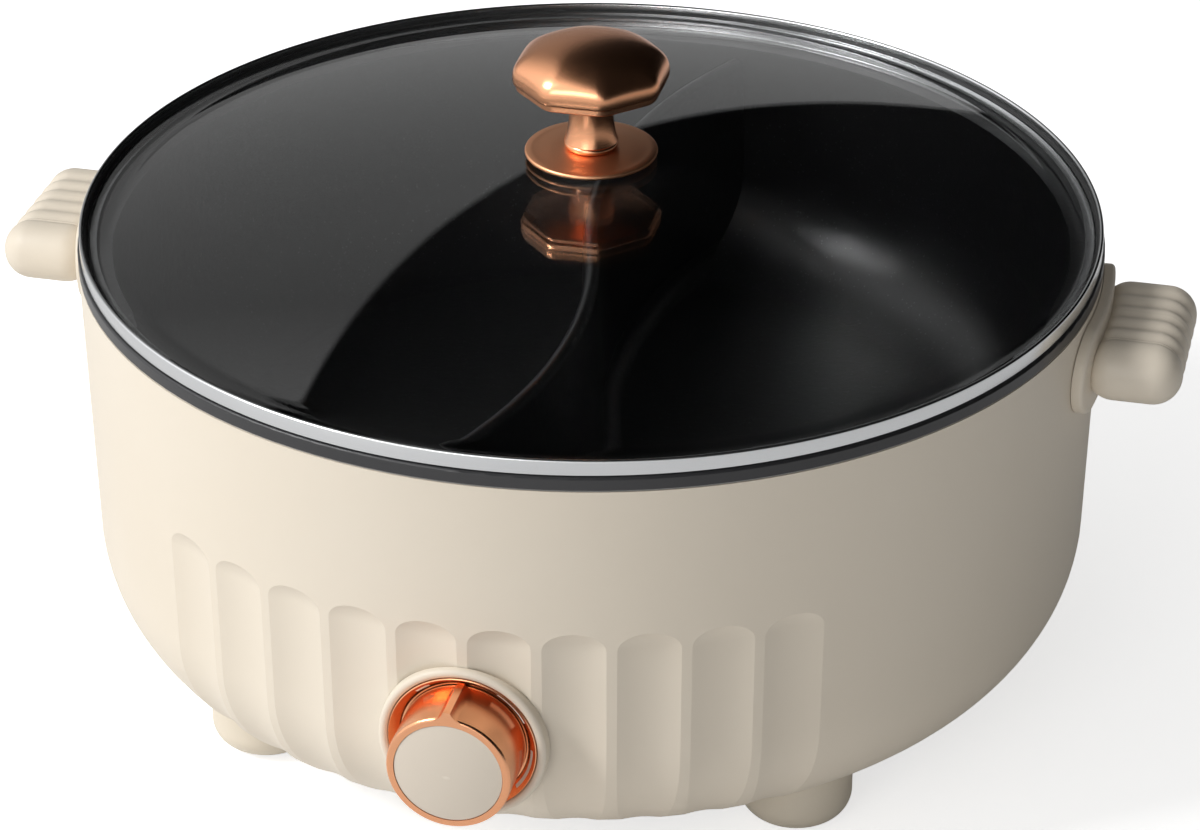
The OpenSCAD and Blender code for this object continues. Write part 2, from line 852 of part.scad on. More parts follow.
// One grip at +X: a ribbed block with a flange that follows the shell
module grip() {
    block = 2 * grip_out + 10;
    path = grip_round + groove_r - groove_sink;
    pitch = (grip_w - 2 * grip_round - 1) / (grip_grooves - 1);
    difference() {
        union() {
            intersection() {
                translate([grip_x - block / 2, 0, 0]) linear_extrude(height = 2 * grip_z)
                    round_rect(block, grip_w, grip_round);
                translate([grip_x - block / 2, grip_w, grip_z - grip_t / 2]) rotate([90, 0, 0])
                    linear_extrude(height = 2 * grip_w) round_rect(block, grip_t, grip_round);
                translate([0, 0, grip_z - grip_t / 2]) rotate([90, 0, 90])
                    linear_extrude(height = 2 * grip_x) round_rect(grip_w, grip_t, grip_round);
            }
            intersection() {
                translate([0, 0, flange_z]) rotate([90, 0, 90])
                    linear_extrude(height = 2 * body_r)
                        round_rect(flange_w, flange_h, flange_h / 2 - 0.5);
                wall_body(flange_t, flange_z - flange_h, flange_z + flange_h);
            }
        }
        wall_body(0.2, base_z, lip_top + 20);
        for (i = [0 : grip_grooves - 1]) translate([0, (i - (grip_grooves - 1) / 2) * pitch, 0]) {
            translate([body_r + flange_t + 1.5, 0, grip_z + groove_r - groove_sink]) rotate([0, 90, 0])
                cylinder(r = groove_r, h = grip_out - flange_t - 1.5 - grip_round);
            translate([grip_x - grip_round, 0, grip_z - grip_round]) rotate([90, 0, 0])
                rotate_extrude(angle = 90) translate([path, 0]) circle(r = groove_r);
        }
        for (y = [-1, 1])
            translate([body_r - 6, y * handle_screw_y, handle_screw_z]) rotate([0, 90, 0])
                cylinder(r = screw_r + thread_fit, h = 26);
    }
}

module handle_right() {
    color(cream) grip();
}

module handle_left() {
    color(cream) mirror([1, 0, 0]) grip();
}

// Steel plate that spreads a grip's screws inside the shell
module backing() {
    translate([backing_x - backing_t, 0, handle_screw_z]) rotate([90, 0, 90])
        linear_extrude(height = backing_t) difference() {
            round_rect(backing_w, 18, 4);
            for (y = [-1, 1]) translate([y * handle_screw_y, 0]) circle(r = screw_r + 0.2);
        }
}

module backing_right() {
    color(steel) backing();
}

module backing_left() {
    color(steel) mirror([1, 0, 0]) backing();
}

module handle_screws() {
    color(steel) for (side = [0, 180], y = [-1, 1]) rotate([0, 0, side])
        translate([backing_x - backing_t, y * handle_screw_y, handle_screw_z])
            rotate([0, 90, 0]) screw(24, screw_r, head_r, 1.6);
}

// ===== base =====

module base_cover() {
    slot = 3;
    color("dimgray") difference() {
        union() {
            translate([0, 0, ledge_z - seat - cover_t]) cylinder(r = ledge_r, h = cover_t);
            for (r = [30, 62]) ring(r - 1, r + 1, ledge_z - seat - eps, 4);
        }
        for (turn = [0, 180], i = [-3 : 3]) rotate([0, 0, turn])
            translate([46, i * 2.6 * slot / 1.3, 0]) linear_extrude(height = 4 * foot_h) union() {
                translate([-9, -slot / 2]) square([18, slot]);
                for (x = [-9, 9]) translate([x, 0]) circle(r = slot / 2);
            }
        around(4, base_screw_ring) cylinder(r = screw_r + 0.3, h = 4 * foot_h);
    }
}

module base_screws() {
    color(steel) around(4, base_screw_ring)
        translate([0, 0, ledge_z - seat - cover_t]) screw(11);
}

// One foot at azimuth 0: a round-bottomed puck whose top follows the shell
module foot() {
    difference() {
        translate([foot_ring, 0, pad_proud]) rotate_extrude() union() {
            square([foot_r - foot_round, 3 * foot_h]);
            translate([0, foot_round]) square([foot_r, 3 * foot_h - foot_round]);
            intersection() {
                translate([foot_r - foot_round, foot_round]) circle(r = foot_round);
                square([foot_r, 2 * foot_round]);
            }
        }
        rotate_extrude() shell_outline(-0.1);
        translate([foot_ring, 0, -1]) cylinder(r = pad_r + 0.2, h = 1 + pad_h);
        translate([foot_ring, 0, 0]) cylinder(r = head_r + 0.3, h = foot_seat);
        translate([foot_ring, 0, 0]) cylinder(r = screw_r + 0.3, h = 3 * foot_h);
    }
}

module foot_front_left() {
    color(cream) rotate([0, 0, 225]) foot();
}

module foot_front_right() {
    color(cream) rotate([0, 0, 315]) foot();
}

module foot_rear_left() {
    color(cream) rotate([0, 0, 135]) foot();
}

module foot_rear_right() {
    color(cream) rotate([0, 0, 45]) foot();
}

module foot_pads() {
    color("dimgray") around(4, foot_ring, 45) cylinder(r = pad_r, h = pad_h);
}

module foot_screws() {
    color(steel) around(4, foot_ring, 45) translate([0, 0, foot_seat]) screw(22);
}

// ===== lid =====

// Tempered glass: a shallow dome, a soft bend and a flat edge with a round rim
module lid_glass() {
    away = [bend_x, bend_z - dome_c] / (dome_R + glass_bend);
    reach = 2 * (glass_bend + glass_t);
    color([0.75, 0.8, 0.8, 0.35]) rotate_extrude() difference() {
        union() {
            intersection() {
                translate([0, dome_c]) difference() {
                    circle(r = dome_R, $fn = fine);
                    circle(r = dome_R - glass_t, $fn = fine);
                }
                polygon([[0, dome_c], 2 * dome_R * away + [0, dome_c], [0, dome_c + 2 * dome_R]]);
            }
            intersection() {
                translate([bend_x, bend_z]) difference() {
                    circle(r = glass_bend + glass_t);
                    circle(r = glass_bend);
                }
                polygon([
                    [bend_x, bend_z], [bend_x, bend_z] - reach * away,
                    [bend_x, bend_z - reach]
                ]);
            }
            translate([bend_x, glass_z]) square([glass_r - glass_t / 2 - bend_x, glass_t]);
            translate([glass_r - glass_t / 2, glass_z + glass_t / 2]) circle(r = glass_t / 2);
        }
        square([glass_hole, 2 * dome_top]);
    }
}

// Rolled steel rim: outer band, step, shelf under the glass and centring leg
module lid_rim() {
    edge = band_t / 2;
    color(steel) rotate_extrude() union() {
        translate([band_inner, band_z]) square([band_t, band_h - edge]);
        translate([band_inner + edge, band_z + band_h - edge]) circle(r = edge);
        translate([step_r - leg_t, band_z]) square([band_inner - step_r + leg_t + eps, lid_sheet]);
        translate([step_r - leg_t, lid_z]) square([leg_t, band_z + lid_sheet - lid_z]);
        translate([leg_r - leg_t, lid_z]) square([step_r - leg_r + leg_t, lid_sheet]);
        translate([leg_r - leg_t, lid_z - leg_h]) square([leg_t, leg_h + lid_sheet]);
    }
}

// Black bead that bonds the glass edge into the band
module lid_bond() {
    z = band_z + lid_sheet + 0.05;
    color("black") ring(glass_r + 0.05, band_inner - 0.05, z, glass_top - 0.5 - z);
}

// Octagonal mushroom knob: eight leaning facets under a dome, on a waisted stem
module lid_knob() {
    knob_top = knob_z + knob_h;
    band_top = head_z + 2.6;
    crown = 1.32 * knob_r;
    facet_h = knob_top - band_top;
    // how far the facets' corners draw in for each millimetre of height
    lean = tan(20) / cos(22.5);
    foot = 2.6;
    bead = 1.3;
    neck = 0.3;
    waist_h = head_z - knob_z - foot - neck;
    flare = 1.5;
    waist = (waist_h * waist_h / 4 + flare * flare) / (2 * flare);
    color(rose_gold) difference() {
        union() {
            intersection() {
                rotate([0, 0, 10]) rotate_extrude() intersection() {
                    translate([0, band_top]) square([1.1 * knob_r, facet_h]);
                    translate([0, knob_top - crown]) circle(r = crown, $fn = fine);
                }
                translate([0, 0, band_top - 1]) rotate([0, 0, 22.5])
                    cylinder(r1 = knob_r + lean, r2 = knob_r - facet_h * lean,
                        h = facet_h + 1, $fn = 8);
            }
            translate([0, 0, head_z]) rotate([0, 0, 22.5])
                cylinder(r = knob_r - 1, h = band_top - head_z + 0.5, $fn = 8);
            rotate_extrude() difference() {
                union() {
                    translate([0, knob_z + bead])
                        square([stem_r + flare, head_z - knob_z - bead + 0.5]);
                    translate([0, knob_z]) square([stem_r + flare - bead, 2 * bead]);
                    translate([stem_r + flare - bead, knob_z + bead]) circle(r = bead);
                }
                translate([stem_r + waist, knob_z + foot + waist_h / 2]) circle(r = waist);
            }
        }
        translate([0, 0, knob_z - 1]) cylinder(r = knob_bore + thread_fit, h = 15);
    }
}

// Slightly dished disc between the knob and the glass
module knob_base() {
    dish = 0.4;
    edge = disc_t / 2;
    r = disc_r - 2.2;
    big = (r * r + dish * dish) / (2 * dish);
    color(rose_gold) rotate_extrude() difference() {
        union() {
            translate([0, disc_z]) square([disc_r - edge, disc_t]);
            translate([disc_r - edge, disc_z + edge]) circle(r = edge);
        }
        difference() {
            translate([0, knob_z - dish + big]) circle(r = big, $fn = fine);
            square([stem_r + 3, 2 * knob_z]);
        }
        square([knob_bore + 0.2, 2 * knob_z]);
    }
}

// Silicone washers above and below the glass; the lower one sleeves the hole
module knob_gasket() {
    upper_r = 15;
    lower_r = 9;
    touch = 0.05;
    color("black") {
        rotate_extrude() difference() {
            translate([glass_hole, dome_top - 2]) square([upper_r - glass_hole, 2 + gasket_rise]);
            translate([0, dome_c]) circle(r = dome_R + touch, $fn = fine);
        }
        rotate_extrude() union() {
            translate([knob_bore + 0.2, washer_z])
                square([glass_hole - knob_bore - 0.4, disc_z - washer_z]);
            intersection() {
                translate([knob_bore + 0.2, washer_z]) square([lower_r - knob_bore - 0.2, 3]);
                translate([0, dome_c]) circle(r = dome_R - glass_t - touch, $fn = fine);
            }
        }
    }
}

module knob_washer() {
    color(steel) ring(knob_bore + 0.2, 9.5, washer_z - washer_t, washer_t);
}

module knob_screw() {
    color(steel) translate([0, 0, washer_z - washer_t])
        screw(knob_z + 11 - washer_z + washer_t, knob_bore, 4, 2.6);
}

outer_shell();
rim_gasket();
lip_ring();
inner_pot();
pot_divider();
heat_plate();
heating_element();
element_bushings();
heat_shield();
shield_studs();
shield_nuts();
shield_screws();
pot_sensor();
sensor_bracket();
thermal_fuse();
dial_escutcheon();
dial_bezel();
dial_retainer();
switch_body();
switch_nut();
inlet_body();
inlet_pins();
inlet_screws();
handle_left();
handle_right();
backing_left();
backing_right();
handle_screws();
base_cover();
base_screws();
foot_front_left();
foot_front_right();
foot_rear_left();
foot_rear_right();
foot_pads();
foot_screws();
dial_knob();
dial_cap();
dial_shaft();
dial_clip();
lid_glass();
lid_rim();
lid_bond();
lid_knob();
knob_base();
knob_gasket();
knob_washer();
knob_screw();
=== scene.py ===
# %% [markdown]
# # An electric hot pot, step by step
# The piece is a round countertop cooker: a cream shell with arched flutes, a black pot
# parted by an S-shaped wall, a glass lid with a rose-gold knob, and a dial at the front.
# Its exact shapes come from CAD and are loaded as a frame that is never moved. Blender adds
# the finishes, finer shapes for the lid, the knob and the grips, the small printed marks, the
# light and the camera. The frame could be rebuilt by hand here, but fits such as the lid's
# rim are safer when they come from one source.

# %% Load the frame
import bpy, bmesh, json, math
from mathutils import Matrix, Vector


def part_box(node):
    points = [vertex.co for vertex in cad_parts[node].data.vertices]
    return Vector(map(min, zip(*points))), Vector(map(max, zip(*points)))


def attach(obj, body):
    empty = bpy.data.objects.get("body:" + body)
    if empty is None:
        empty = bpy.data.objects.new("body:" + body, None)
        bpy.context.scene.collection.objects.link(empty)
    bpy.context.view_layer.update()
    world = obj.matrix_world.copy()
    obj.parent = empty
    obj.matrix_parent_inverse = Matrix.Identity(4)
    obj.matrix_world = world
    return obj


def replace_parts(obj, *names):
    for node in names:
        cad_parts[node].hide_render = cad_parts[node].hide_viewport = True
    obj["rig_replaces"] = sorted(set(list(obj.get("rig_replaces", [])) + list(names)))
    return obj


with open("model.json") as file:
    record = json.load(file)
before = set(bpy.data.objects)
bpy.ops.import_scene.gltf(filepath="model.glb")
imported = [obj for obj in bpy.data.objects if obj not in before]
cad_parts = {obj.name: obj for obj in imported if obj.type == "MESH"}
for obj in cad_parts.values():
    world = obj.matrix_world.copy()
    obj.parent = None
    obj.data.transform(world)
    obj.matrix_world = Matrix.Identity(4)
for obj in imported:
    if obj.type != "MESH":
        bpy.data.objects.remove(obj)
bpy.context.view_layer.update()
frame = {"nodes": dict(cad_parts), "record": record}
nodes = frame["nodes"]
bpy.ops.object.select_all(action="DESELECT")
for plain_colour in list(bpy.data.materials):
    bpy.data.materials.remove(plain_colour)
triangles = sum(len(o.data.polygons) for o in nodes.values())
print("loaded", len(nodes), "CAD nodes,", triangles, "triangles")

# %% [markdown]
# ## Shared effects
# Real finishes are never even: cream plastic has a faint mottle, a moulded skin is slightly
# rippled, a coated pot is flecked. Each such effect is a shader node group with named
# inputs, so that every material can place it with its own values. A picture texture could do
# the same, but a procedural pattern stays sharp at any distance and needs no unwrapping.

# %% A helper for node groups
def new_group(name, inputs, outputs):
    group = bpy.data.node_groups.new(name, "ShaderNodeTree")
    for label, kind, value in inputs:
        socket = group.interface.new_socket(name=label, in_out="INPUT", socket_type=kind)
        socket.default_value = value
    for label, kind in outputs:
        group.interface.new_socket(name=label, in_out="OUTPUT", socket_type=kind)
    enter = group.nodes.new("NodeGroupInput")
    leave = group.nodes.new("NodeGroupOutput")
    return group, enter, leave


def put(tree, kind, place, **values):
    node = tree.nodes.new(kind)
    node.location = place
    for key, value in values.items():
        if hasattr(node, key):
            setattr(node, key, value)
        else:
            node.inputs[key].default_value = value
    return node


def noise(tree, place, scale, detail=2.0, roughness=0.5):
    return put(tree, "ShaderNodeTexNoise", place, Scale=scale, Detail=detail, Roughness=roughness)


def map_range(tree, place, source=(0.0, 1.0), target=(0.0, 1.0)):
    """A Map Range node that takes the values of source to those of target."""
    node = put(tree, "ShaderNodeMapRange", place)
    for key, value in zip(("From Min", "From Max", "To Min", "To Max"), (*source, *target)):
        node.inputs[key].default_value = value
    return node


def wire(tree, *links):
    """Joins nodes. Each link names a node, its output, the next node and its input."""
    for node, output, next_node, entry in links:
        tree.links.new(node.outputs[output], next_node.inputs[entry])


# %% Mottle: a slow drift between two shades
mottle, enter, leave = new_group(
    "slow_mottle",
    [("Shade", "NodeSocketColor", (0.8, 0.8, 0.8, 1)),
     ("Other Shade", "NodeSocketColor", (0.7, 0.7, 0.7, 1)),
     ("Scale", "NodeSocketFloat", 9.0)],
    [("Color", "NodeSocketColor"), ("Mask", "NodeSocketFloat")])
place = put(mottle, "ShaderNodeTexCoord", (-700, 0))
cloud = noise(mottle, (-450, 0), 9.0, 3.0)
ramp = map_range(mottle, (-250, 0), source=(0.3, 0.7))
blend = put(mottle, "ShaderNodeMix", (0, 0), data_type="RGBA")
wire(mottle, (place, "Object", cloud, "Vector"), (enter, "Scale", cloud, "Scale"),
     (cloud, "Fac", ramp, "Value"), (ramp, "Result", blend, "Factor"),
     (enter, "Shade", blend, "A"), (enter, "Other Shade", blend, "B"),
     (blend, "Result", leave, "Color"), (ramp, "Result", leave, "Mask"))
print("group", mottle.name)

# %% Skin: the fine ripple of a moulded or cast surface
skin, enter, leave = new_group(
    "moulded_skin",
    [("Ripple Scale", "NodeSocketFloat", 220.0), ("Grain Scale", "NodeSocketFloat", 1400.0),
     ("Grain Share", "NodeSocketFloat", 0.3)],
    [("Height", "NodeSocketFloat")])
place = put(skin, "ShaderNodeTexCoord", (-700, 0))
ripple = noise(skin, (-450, 100), 220.0, 1.0)
grain = noise(skin, (-450, -150), 1400.0, 2.0)
share = put(skin, "ShaderNodeMix", (-150, 0), data_type="FLOAT")
wire(skin, (place, "Object", ripple, "Vector"), (place, "Object", grain, "Vector"),
     (enter, "Ripple Scale", ripple, "Scale"), (enter, "Grain Scale", grain, "Scale"),
     (enter, "Grain Share", share, "Factor"), (ripple, "Fac", share, "A"),
     (grain, "Fac", share, "B"), (share, "Result", leave, "Height"))
print("group", skin.name)

# %% Flecks: fine light specks in a dark coating
flecks, enter, leave = new_group(
    "coating_flecks",
    [("Scale", "NodeSocketFloat", 900.0), ("Coverage", "NodeSocketFloat", 0.12)],
    [("Mask", "NodeSocketFloat")])
place = put(flecks, "ShaderNodeTexCoord", (-900, 0))
cells = put(flecks, "ShaderNodeTexVoronoi", (-650, 0), Scale=900.0)
size = put(flecks, "ShaderNodeMath", (-400, 0), operation="LESS_THAN")
size.inputs[1].default_value = 0.33  # how much of its cell a fleck may fill
chosen = put(flecks, "ShaderNodeSeparateColor", (-400, -200))
rare = put(flecks, "ShaderNodeMath", (-200, -200), operation="LESS_THAN")
both = put(flecks, "ShaderNodeMath", (0, 0), operation="MULTIPLY")
wire(flecks, (place, "Object", cells, "Vector"), (enter, "Scale", cells, "Scale"),
     (cells, "Distance", size, 0), (cells, "Color", chosen, "Color"), (chosen, "Red", rare, 0),
     (enter, "Coverage", rare, 1), (size, "Value", both, 0), (rare, "Value", both, 1),
     (both, "Value", leave, "Mask"))
print("group", flecks.name)

# %% Turning lines: fine rings left by a lathe or a polishing wheel
rings, enter, leave = new_group(
    "turning_lines",
    [("Scale", "NodeSocketFloat", 1500.0), ("Height Scale", "NodeSocketFloat", 600.0)],
    [("Mask", "NodeSocketFloat")])
place = put(rings, "ShaderNodeTexCoord", (-1100, 0))
split = put(rings, "ShaderNodeSeparateXYZ", (-900, 0))
flat = put(rings, "ShaderNodeCombineXYZ", (-900, -200))
radius = put(rings, "ShaderNodeVectorMath", (-700, -200), operation="LENGTH")
outward = put(rings, "ShaderNodeMath", (-500, -200), operation="MULTIPLY")
upward = put(rings, "ShaderNodeMath", (-500, 0), operation="MULTIPLY")
line = put(rings, "ShaderNodeCombineXYZ", (-300, 0))
streak = noise(rings, (-100, 0), 1.0, 3.0)
wire(rings, (split, "X", flat, "X"), (split, "Y", flat, "Y"),
     (place, "Object", split, "Vector"), (flat, "Vector", radius, 0),
     (radius, "Value", outward, 0), (enter, "Scale", outward, 1), (split, "Z", upward, 0),
     (enter, "Height Scale", upward, 1), (outward, "Value", line, "X"),
     (upward, "Value", line, "Y"), (line, "Vector", streak, "Vector"),
     (streak, "Fac", leave, "Mask"))
print("group", rings.name)

# %% [markdown]
# ## Finishes
# Each finish is one Principled shader. A value that is the same all over, such as how
# metallic it is, is set on the shader itself; what varies comes from the groups above. A
# helper makes them all alike: two shades that drift into each other, a roughness that
# varies a little, and a bump of the right grain.

# %% A helper for finishes
def place_group(tree, group, place, **values):
    node = put(tree, "ShaderNodeGroup", place, node_tree=group)
    for key, value in values.items():
        node.inputs[key.replace("_", " ")].default_value = value
    return node


def finish_of(name, shade, other_shade, rough, rough_swing=0.04, drift=9.0, bump=0.02,
              ripple=220.0, grain=1400.0, grain_share=0.3, **constants):
    material = bpy.data.materials.new(name)
    material.use_nodes = True
    tree = material.node_tree
    shader = tree.nodes["Principled BSDF"]
    drifted = place_group(tree, mottle, (-600, 200), Shade=(*shade, 1),
                          Other_Shade=(*other_shade, 1), Scale=drift)
    wire(tree, (drifted, "Color", shader, "Base Color"))
    swing = map_range(tree, (-300, 0), target=(rough - rough_swing, rough + rough_swing))
    wire(tree, (drifted, "Mask", swing, "Value"), (swing, "Result", shader, "Roughness"))
    if bump:
        height = place_group(tree, skin, (-600, -300), Ripple_Scale=ripple, Grain_Scale=grain,
                             Grain_Share=grain_share)
        relief = put(tree, "ShaderNodeBump", (-300, -300), Strength=bump, Distance=0.001)
        wire(tree, (height, "Height", relief, "Height"), (relief, "Normal", shader, "Normal"))
    for key, value in constants.items():
        shader.inputs[key.replace("_", " ")].default_value = value
    return material


# %% The finishes of this pot
finish_of("shell_cream", (0.76, 0.685, 0.575), (0.745, 0.665, 0.55), 0.44, bump=0.05,
          ripple=160.0, grain_share=0.15, Specular_IOR_Level=0.35)
finish_of("grip_cream", (0.75, 0.675, 0.565), (0.73, 0.65, 0.535), 0.46, bump=0.08,
          ripple=500.0, grain=2600.0, grain_share=0.6, Specular_IOR_Level=0.4)
finish_of("foot_cream", (0.73, 0.655, 0.54), (0.70, 0.625, 0.505), 0.44, bump=0.08,
          ripple=500.0, grain=2600.0, grain_share=0.6)
finish_of("lip_dark", (0.022, 0.022, 0.024), (0.034, 0.034, 0.036), 0.36, bump=0.06,
          ripple=700.0, grain=3000.0, grain_share=0.5)
rim_steel = finish_of("rim_steel", (0.72, 0.73, 0.74), (0.66, 0.67, 0.68), 0.22, bump=0.0,
                      Metallic=1.0)
finish_of("rose_gold", (0.89, 0.43, 0.235), (0.85, 0.40, 0.215), 0.25, 0.03, drift=30.0,
          bump=0.03, ripple=900.0, grain=3200.0, grain_share=0.5, Metallic=1.0)
# The disc's finish is the knob's metal made rougher, with its colour painted a little lighter as
# painted light.
rose_satin_painted_light = finish_of("rose_satin_painted_light", (0.92, 0.46, 0.25), (0.88, 0.43, 0.23), 0.40, 0.03,
                       drift=30.0, bump=0.02, ripple=900.0, grain=3200.0, grain_share=0.5,
                       Metallic=1.0)
finish_of("cap_cream", (0.69, 0.61, 0.51), (0.67, 0.59, 0.49), 0.30, bump=0.05, ripple=300.0,
          Coat_Weight=0.3, Coat_Roughness=0.1)
finish_of("silicone_grey", (0.42, 0.41, 0.40), (0.36, 0.355, 0.35), 0.6, bump=0.1)
finish_of("silicone_black", (0.012, 0.012, 0.012), (0.02, 0.02, 0.02), 0.45, bump=0.1)
finish_of("rubber_dark", (0.05, 0.048, 0.045), (0.08, 0.078, 0.072), 0.75, bump=0.3,
          ripple=900.0)
finish_of("plate_cast", (0.50, 0.51, 0.52), (0.42, 0.43, 0.44), 0.5, 0.08, bump=0.4,
          ripple=500.0, Metallic=1.0)
finish_of("element_steel", (0.14, 0.12, 0.11), (0.22, 0.18, 0.15), 0.5, 0.1, drift=40.0,
          bump=0.1, Metallic=1.0)
finish_of("shield_sheet", (0.62, 0.63, 0.65), (0.54, 0.55, 0.57), 0.36, 0.06, bump=0.06,
          Metallic=1.0)
finish_of("steel_plain", (0.55, 0.56, 0.58), (0.48, 0.49, 0.50), 0.34, 0.06, drift=60.0,
          bump=0.05, Metallic=1.0)
finish_of("ceramic_white", (0.80, 0.78, 0.73), (0.74, 0.71, 0.66), 0.6, bump=0.15, ripple=900.0)
finish_of("switch_white", (0.74, 0.73, 0.70), (0.70, 0.69, 0.66), 0.5, bump=0.1)
finish_of("base_grey", (0.045, 0.045, 0.047), (0.06, 0.06, 0.062), 0.55, bump=0.25,
          ripple=1200.0, grain_share=0.6)
finish_of("inlet_black", (0.016, 0.016, 0.018), (0.025, 0.025, 0.027), 0.48, bump=0.2,
          ripple=1200.0)
finish_of("pin_metal", (0.62, 0.59, 0.52), (0.56, 0.53, 0.46), 0.25, bump=0.03, Metallic=1.0)
print("plain finishes:", len(bpy.data.materials))

# %% [markdown]
# ## The non-stick coating
# The pot is cast aluminium with a sprayed black coating: a soft satin with fine flecks and a
# slightly pebbled skin. The flecks are a mask that lifts the colour, so they follow the same
# place on the metal from every side.

# %% Black non-stick
pot_black = finish_of("pot_black", (0.010, 0.010, 0.011), (0.016, 0.016, 0.017), 0.36, 0.05,
                      bump=0.16, ripple=420.0, grain=1800.0, grain_share=0.4,
                      Coat_Weight=0.6, Coat_Roughness=0.34)
tree = pot_black.node_tree
shader = tree.nodes["Principled BSDF"]
base = shader.inputs["Base Color"].links[0].from_socket
speck = place_group(tree, flecks, (-600, 450), Scale=1100.0, Coverage=0.08)
lift = put(tree, "ShaderNodeMix", (-300, 300), data_type="RGBA", B=(0.07, 0.07, 0.075, 1))
wire(tree, (speck, "Mask", lift, "Factor"))
tree.links.new(base, lift.inputs["A"])
wire(tree, (lift, "Result", shader, "Base Color"))
print("pot coating with flecks")

# %% [markdown]
# ## Turned metal
# The lid's steel band is polished while it spins, which leaves fine lines around it. The
# lines are noise that is read by distance from the axis and by height only, so they run
# round the rim. They change the roughness and the relief, not the colour.

# %% Lines on the steel rim
tree = rim_steel.node_tree
shader = tree.nodes["Principled BSDF"]
lines = place_group(tree, rings, (-900, -100), Scale=2600.0, Height_Scale=2600.0)
sheen = map_range(tree, (-600, -100), target=(0.16, 0.30))
relief = put(tree, "ShaderNodeBump", (-300, -350), Strength=0.05, Distance=0.0005)
wire(tree, (lines, "Mask", sheen, "Value"), (sheen, "Result", shader, "Roughness"),
     (lines, "Mask", relief, "Height"), (relief, "Normal", shader, "Normal"))
print("rim lines")

# %% [markdown]
# ## Glass
# The lid is clear tempered glass. Transmission and index of refraction are plain values on
# the shader; the only thing that varies is a trace of haze, which is a little roughness in
# slow clouds, as on glass that has been wiped.

# %% Clear glass
glass_clear = bpy.data.materials.new("glass_clear")
glass_clear.use_nodes = True
tree = glass_clear.node_tree
shader = tree.nodes["Principled BSDF"]
shader.inputs["Base Color"].default_value = (0.96, 0.97, 0.97, 1)
shader.inputs["Transmission Weight"].default_value = 1.0
shader.inputs["IOR"].default_value = 1.52
haze = place_group(tree, mottle, (-700, 0), Scale=14.0)
film = map_range(tree, (-400, 0), target=(0.0, 0.003))
wire(tree, (haze, "Mask", film, "Value"), (film, "Result", shader, "Roughness"))
print("glass")

# %% [markdown]
# ## Finishes onto the frame
# The record says which slot each node takes, and the materials above carry the same names,
# so a short loop can dress every node. The nodes keep their meshes untouched.

# %% Dress the nodes
slots = {part["node"]: part["material_slot"] for part in frame["record"]["subparts"]}
for name, thing in nodes.items():
    thing.data.materials.clear()
    thing.data.materials.append(bpy.data.materials[slots[name]])
print("dressed", len(slots), "nodes in", len(set(slots.values())), "finishes")

# %% [markdown]
# ## Turned pieces
# The lid's glass, its steel band, the bead between them, the knob's stem and the disc under
# it are all round. On a lathe they would be turned from an outline; here the same is done by
# hand: a circle is added at the outline's first point, its edge is extruded and resized to
# each next point, and the last ring is merged with the first. The Screw modifier could do it
# from a profile, but one ring after another is easy to read, and gives as many facets round
# as the eye needs.

# %% Points on an arc, and a piece turned from an outline
def arc_points(centre, radius, start, end, steps):
    """Points (r, z) on an arc, angles in degrees from the outward direction."""
    turns = [math.radians(start + (end - start) * i / steps) for i in range(steps + 1)]
    return [(centre[0] + radius * math.cos(t), centre[1] + radius * math.sin(t)) for t in turns]


def millimetres(outline):
    return [(r / 1000, z / 1000) for r, z in outline]


def turned(name, outline, finish, body, sides, smooth=40):
    (r, z), *rest = outline
    bpy.ops.object.select_all(action="DESELECT")
    bpy.ops.mesh.primitive_circle_add(vertices=sides, radius=r, location=(0, 0, z))
    piece = bpy.context.object
    piece.name = name
    bpy.ops.object.transform_apply(location=True, rotation=True, scale=True)
    bpy.ops.object.mode_set(mode="EDIT")
    bpy.ops.mesh.select_all(action="SELECT")
    for next_r, next_z in rest + [outline[0]]:
        bpy.ops.mesh.extrude_edges_move(TRANSFORM_OT_translate={"value": (0, 0, next_z - z)})
        bpy.ops.transform.resize(value=(next_r / r, next_r / r, 1), center_override=(0, 0, 0))
        r, z = next_r, next_z
    return shut(piece, finish, body, smooth)


def shut(piece, finish, body, smooth=40):
    """Merges the seams, turns the faces outwards, smooths the shading and gives the finish."""
    bpy.ops.mesh.select_all(action="SELECT")
    bpy.ops.mesh.remove_doubles(threshold=0.000004)
    bpy.ops.mesh.normals_make_consistent(inside=False)
    bpy.ops.object.mode_set(mode="OBJECT")
    bpy.ops.object.shade_smooth_by_angle(angle=math.radians(smooth))
    piece.data.materials.append(bpy.data.materials[finish])
    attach(piece, body)
    print(piece.name, len(piece.data.polygons), "faces")
    return piece


# %% [markdown]
# ## Lid glass
# Tempered glass is pressed into a shallow dome with a soft bend and a flat edge. What is seen
# through it bends with its two faces, so coarse facets would show at once: it is turned with
# 288 sides and some 150 rings, from the same numbers as the CAD.

